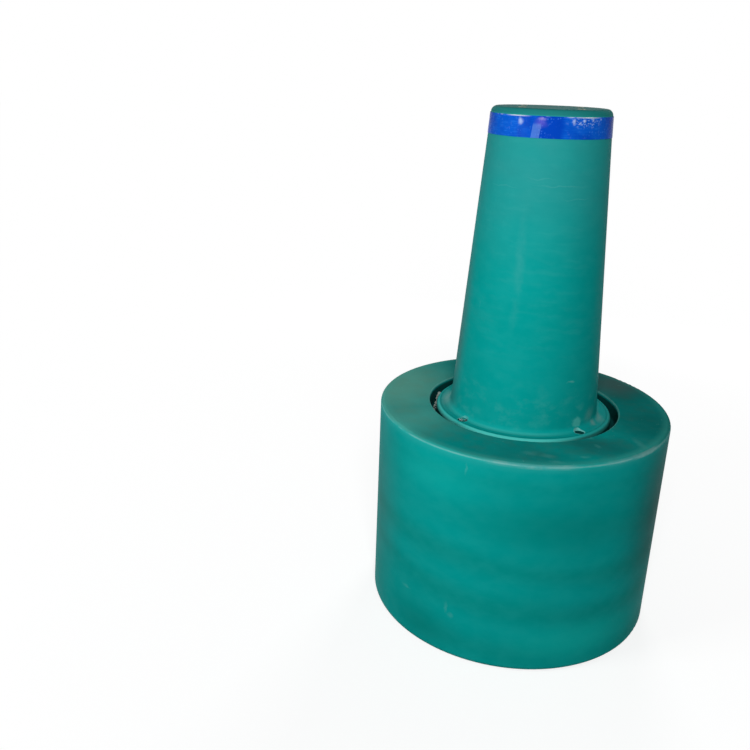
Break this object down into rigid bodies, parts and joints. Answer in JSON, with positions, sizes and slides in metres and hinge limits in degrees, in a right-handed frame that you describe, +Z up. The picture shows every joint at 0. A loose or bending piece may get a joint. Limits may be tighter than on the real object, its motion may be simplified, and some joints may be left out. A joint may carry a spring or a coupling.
{
  "type": "navigation buoy",
  "caption": "Moulded navigation buoy with a drum float, a tapered tower bolted into its deck recess, a reflective tape band and a mooring eye recessed in the base.",
  "frame": {"origin": "centre of the float's base, on the surface that the buoy stands on", "axes": "+Z up along the tower; -Y is the front, the side that the picture shows"},
  "size_m": [0.7999, 0.8, 1.395],
  "materials": {
    "moulded_polyethylene": "rotationally moulded green polyethylene, satin and slightly waxy",
    "reflective_tape": "blue retroreflective tape under a clear glossy face, lightly wrinkled",
    "galvanised_steel": "hot-dip galvanised, dull grey",
    "stainless_steel": "plain stainless fasteners",
    "brass": "dull turned brass",
    "plug_plastic": "dark green moulded plugs"
  },
  "bodies": {
    "root": {"float": "moulded_polyethylene", "tower": "moulded_polyethylene", "tape_band": "reflective_tape", "mooring_plate": "galvanised_steel", "mooring_eye": "galvanised_steel", "foot_insert_1": "brass", "foot_insert_2": "brass", "foot_insert_3": "brass", "foot_insert_4": "brass", "foot_bolt_1": "stainless_steel", "foot_bolt_2": "stainless_steel", "foot_bolt_3": "stainless_steel", "foot_washer_1": "stainless_steel", "foot_washer_2": "stainless_steel", "foot_washer_3": "stainless_steel", "lantern_insert_1": "brass", "lantern_insert_2": "brass", "lantern_insert_3": "brass", "lantern_insert_4": "brass", "plate_bolt_1": "galvanised_steel", "plate_bolt_2": "galvanised_steel", "plate_bolt_3": "galvanised_steel", "plate_bolt_4": "galvanised_steel", "plate_washer_1": "galvanised_steel", "plate_washer_2": "galvanised_steel", "plate_washer_3": "galvanised_steel", "plate_washer_4": "galvanised_steel", "foam_plug_1": "plug_plastic", "foam_plug_2": "plug_plastic"}
  },
  "joints": []
}
